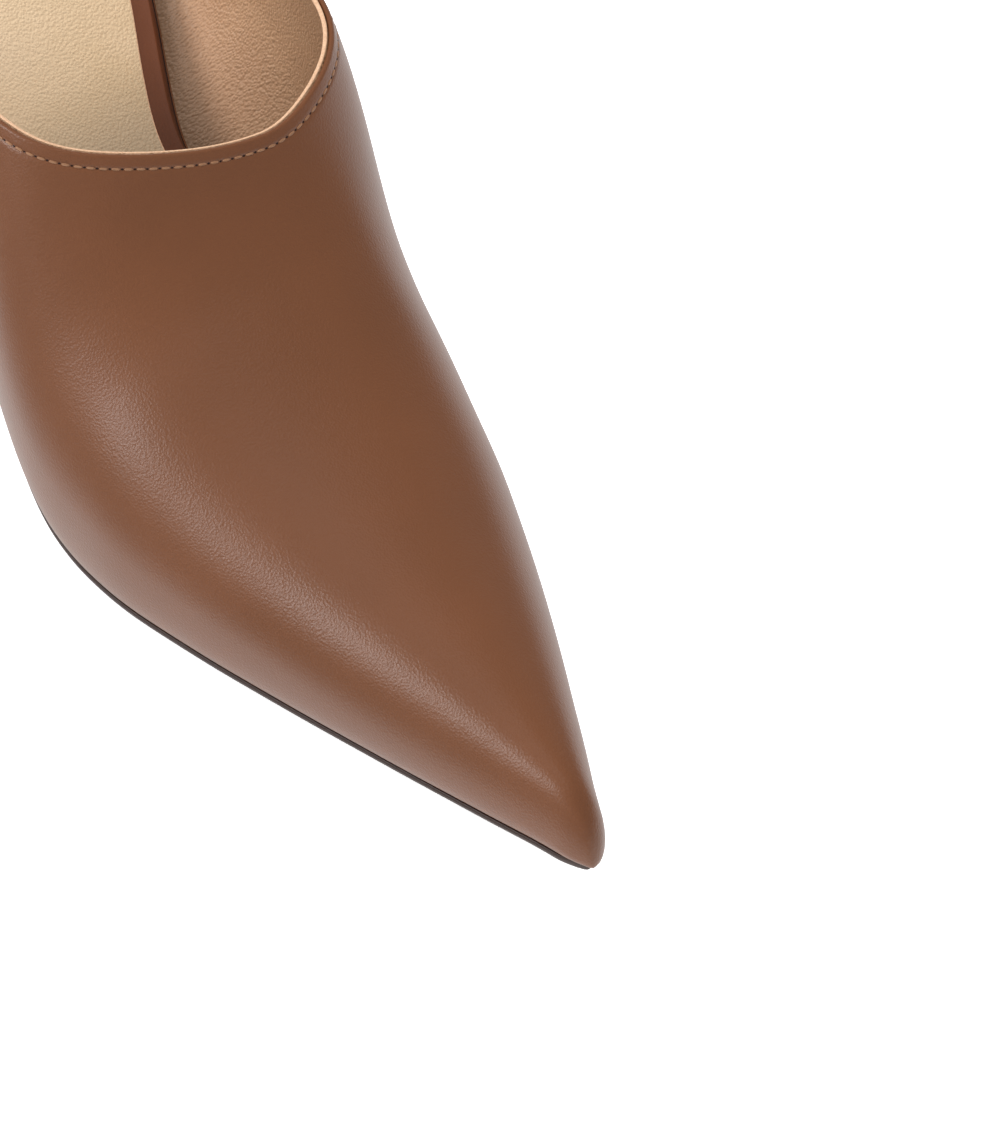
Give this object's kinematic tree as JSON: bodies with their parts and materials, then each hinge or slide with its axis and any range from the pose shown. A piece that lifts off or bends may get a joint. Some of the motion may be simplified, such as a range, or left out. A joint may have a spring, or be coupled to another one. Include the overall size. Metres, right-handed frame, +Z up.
{
  "type": "high-heel mule shoe",
  "caption": "Pointed backless high-heel mule with a high closed vamp, for the right foot; the foot slides in from behind under the collar.",
  "frame": {"origin": "on the ground, under the middle of the shoe's bounding box", "axes": "+Z up, toe towards -Y, heel towards +Y, inner side of the right foot towards +X"},
  "size_m": [0.0772, 0.246, 0.0777],
  "materials": {
    "outsole": "burnished edge",
    "insole": "satin",
    "upper": "satin, smooth grain",
    "heel": "satin, smooth grain",
    "heel_tip": "hard, matt"
  },
  "bodies": {
    "root": {"outsole": "outsole", "insole": "insole", "upper": "upper", "heel": "heel", "heel_tip": "heel_tip"}
  },
  "joints": []
}
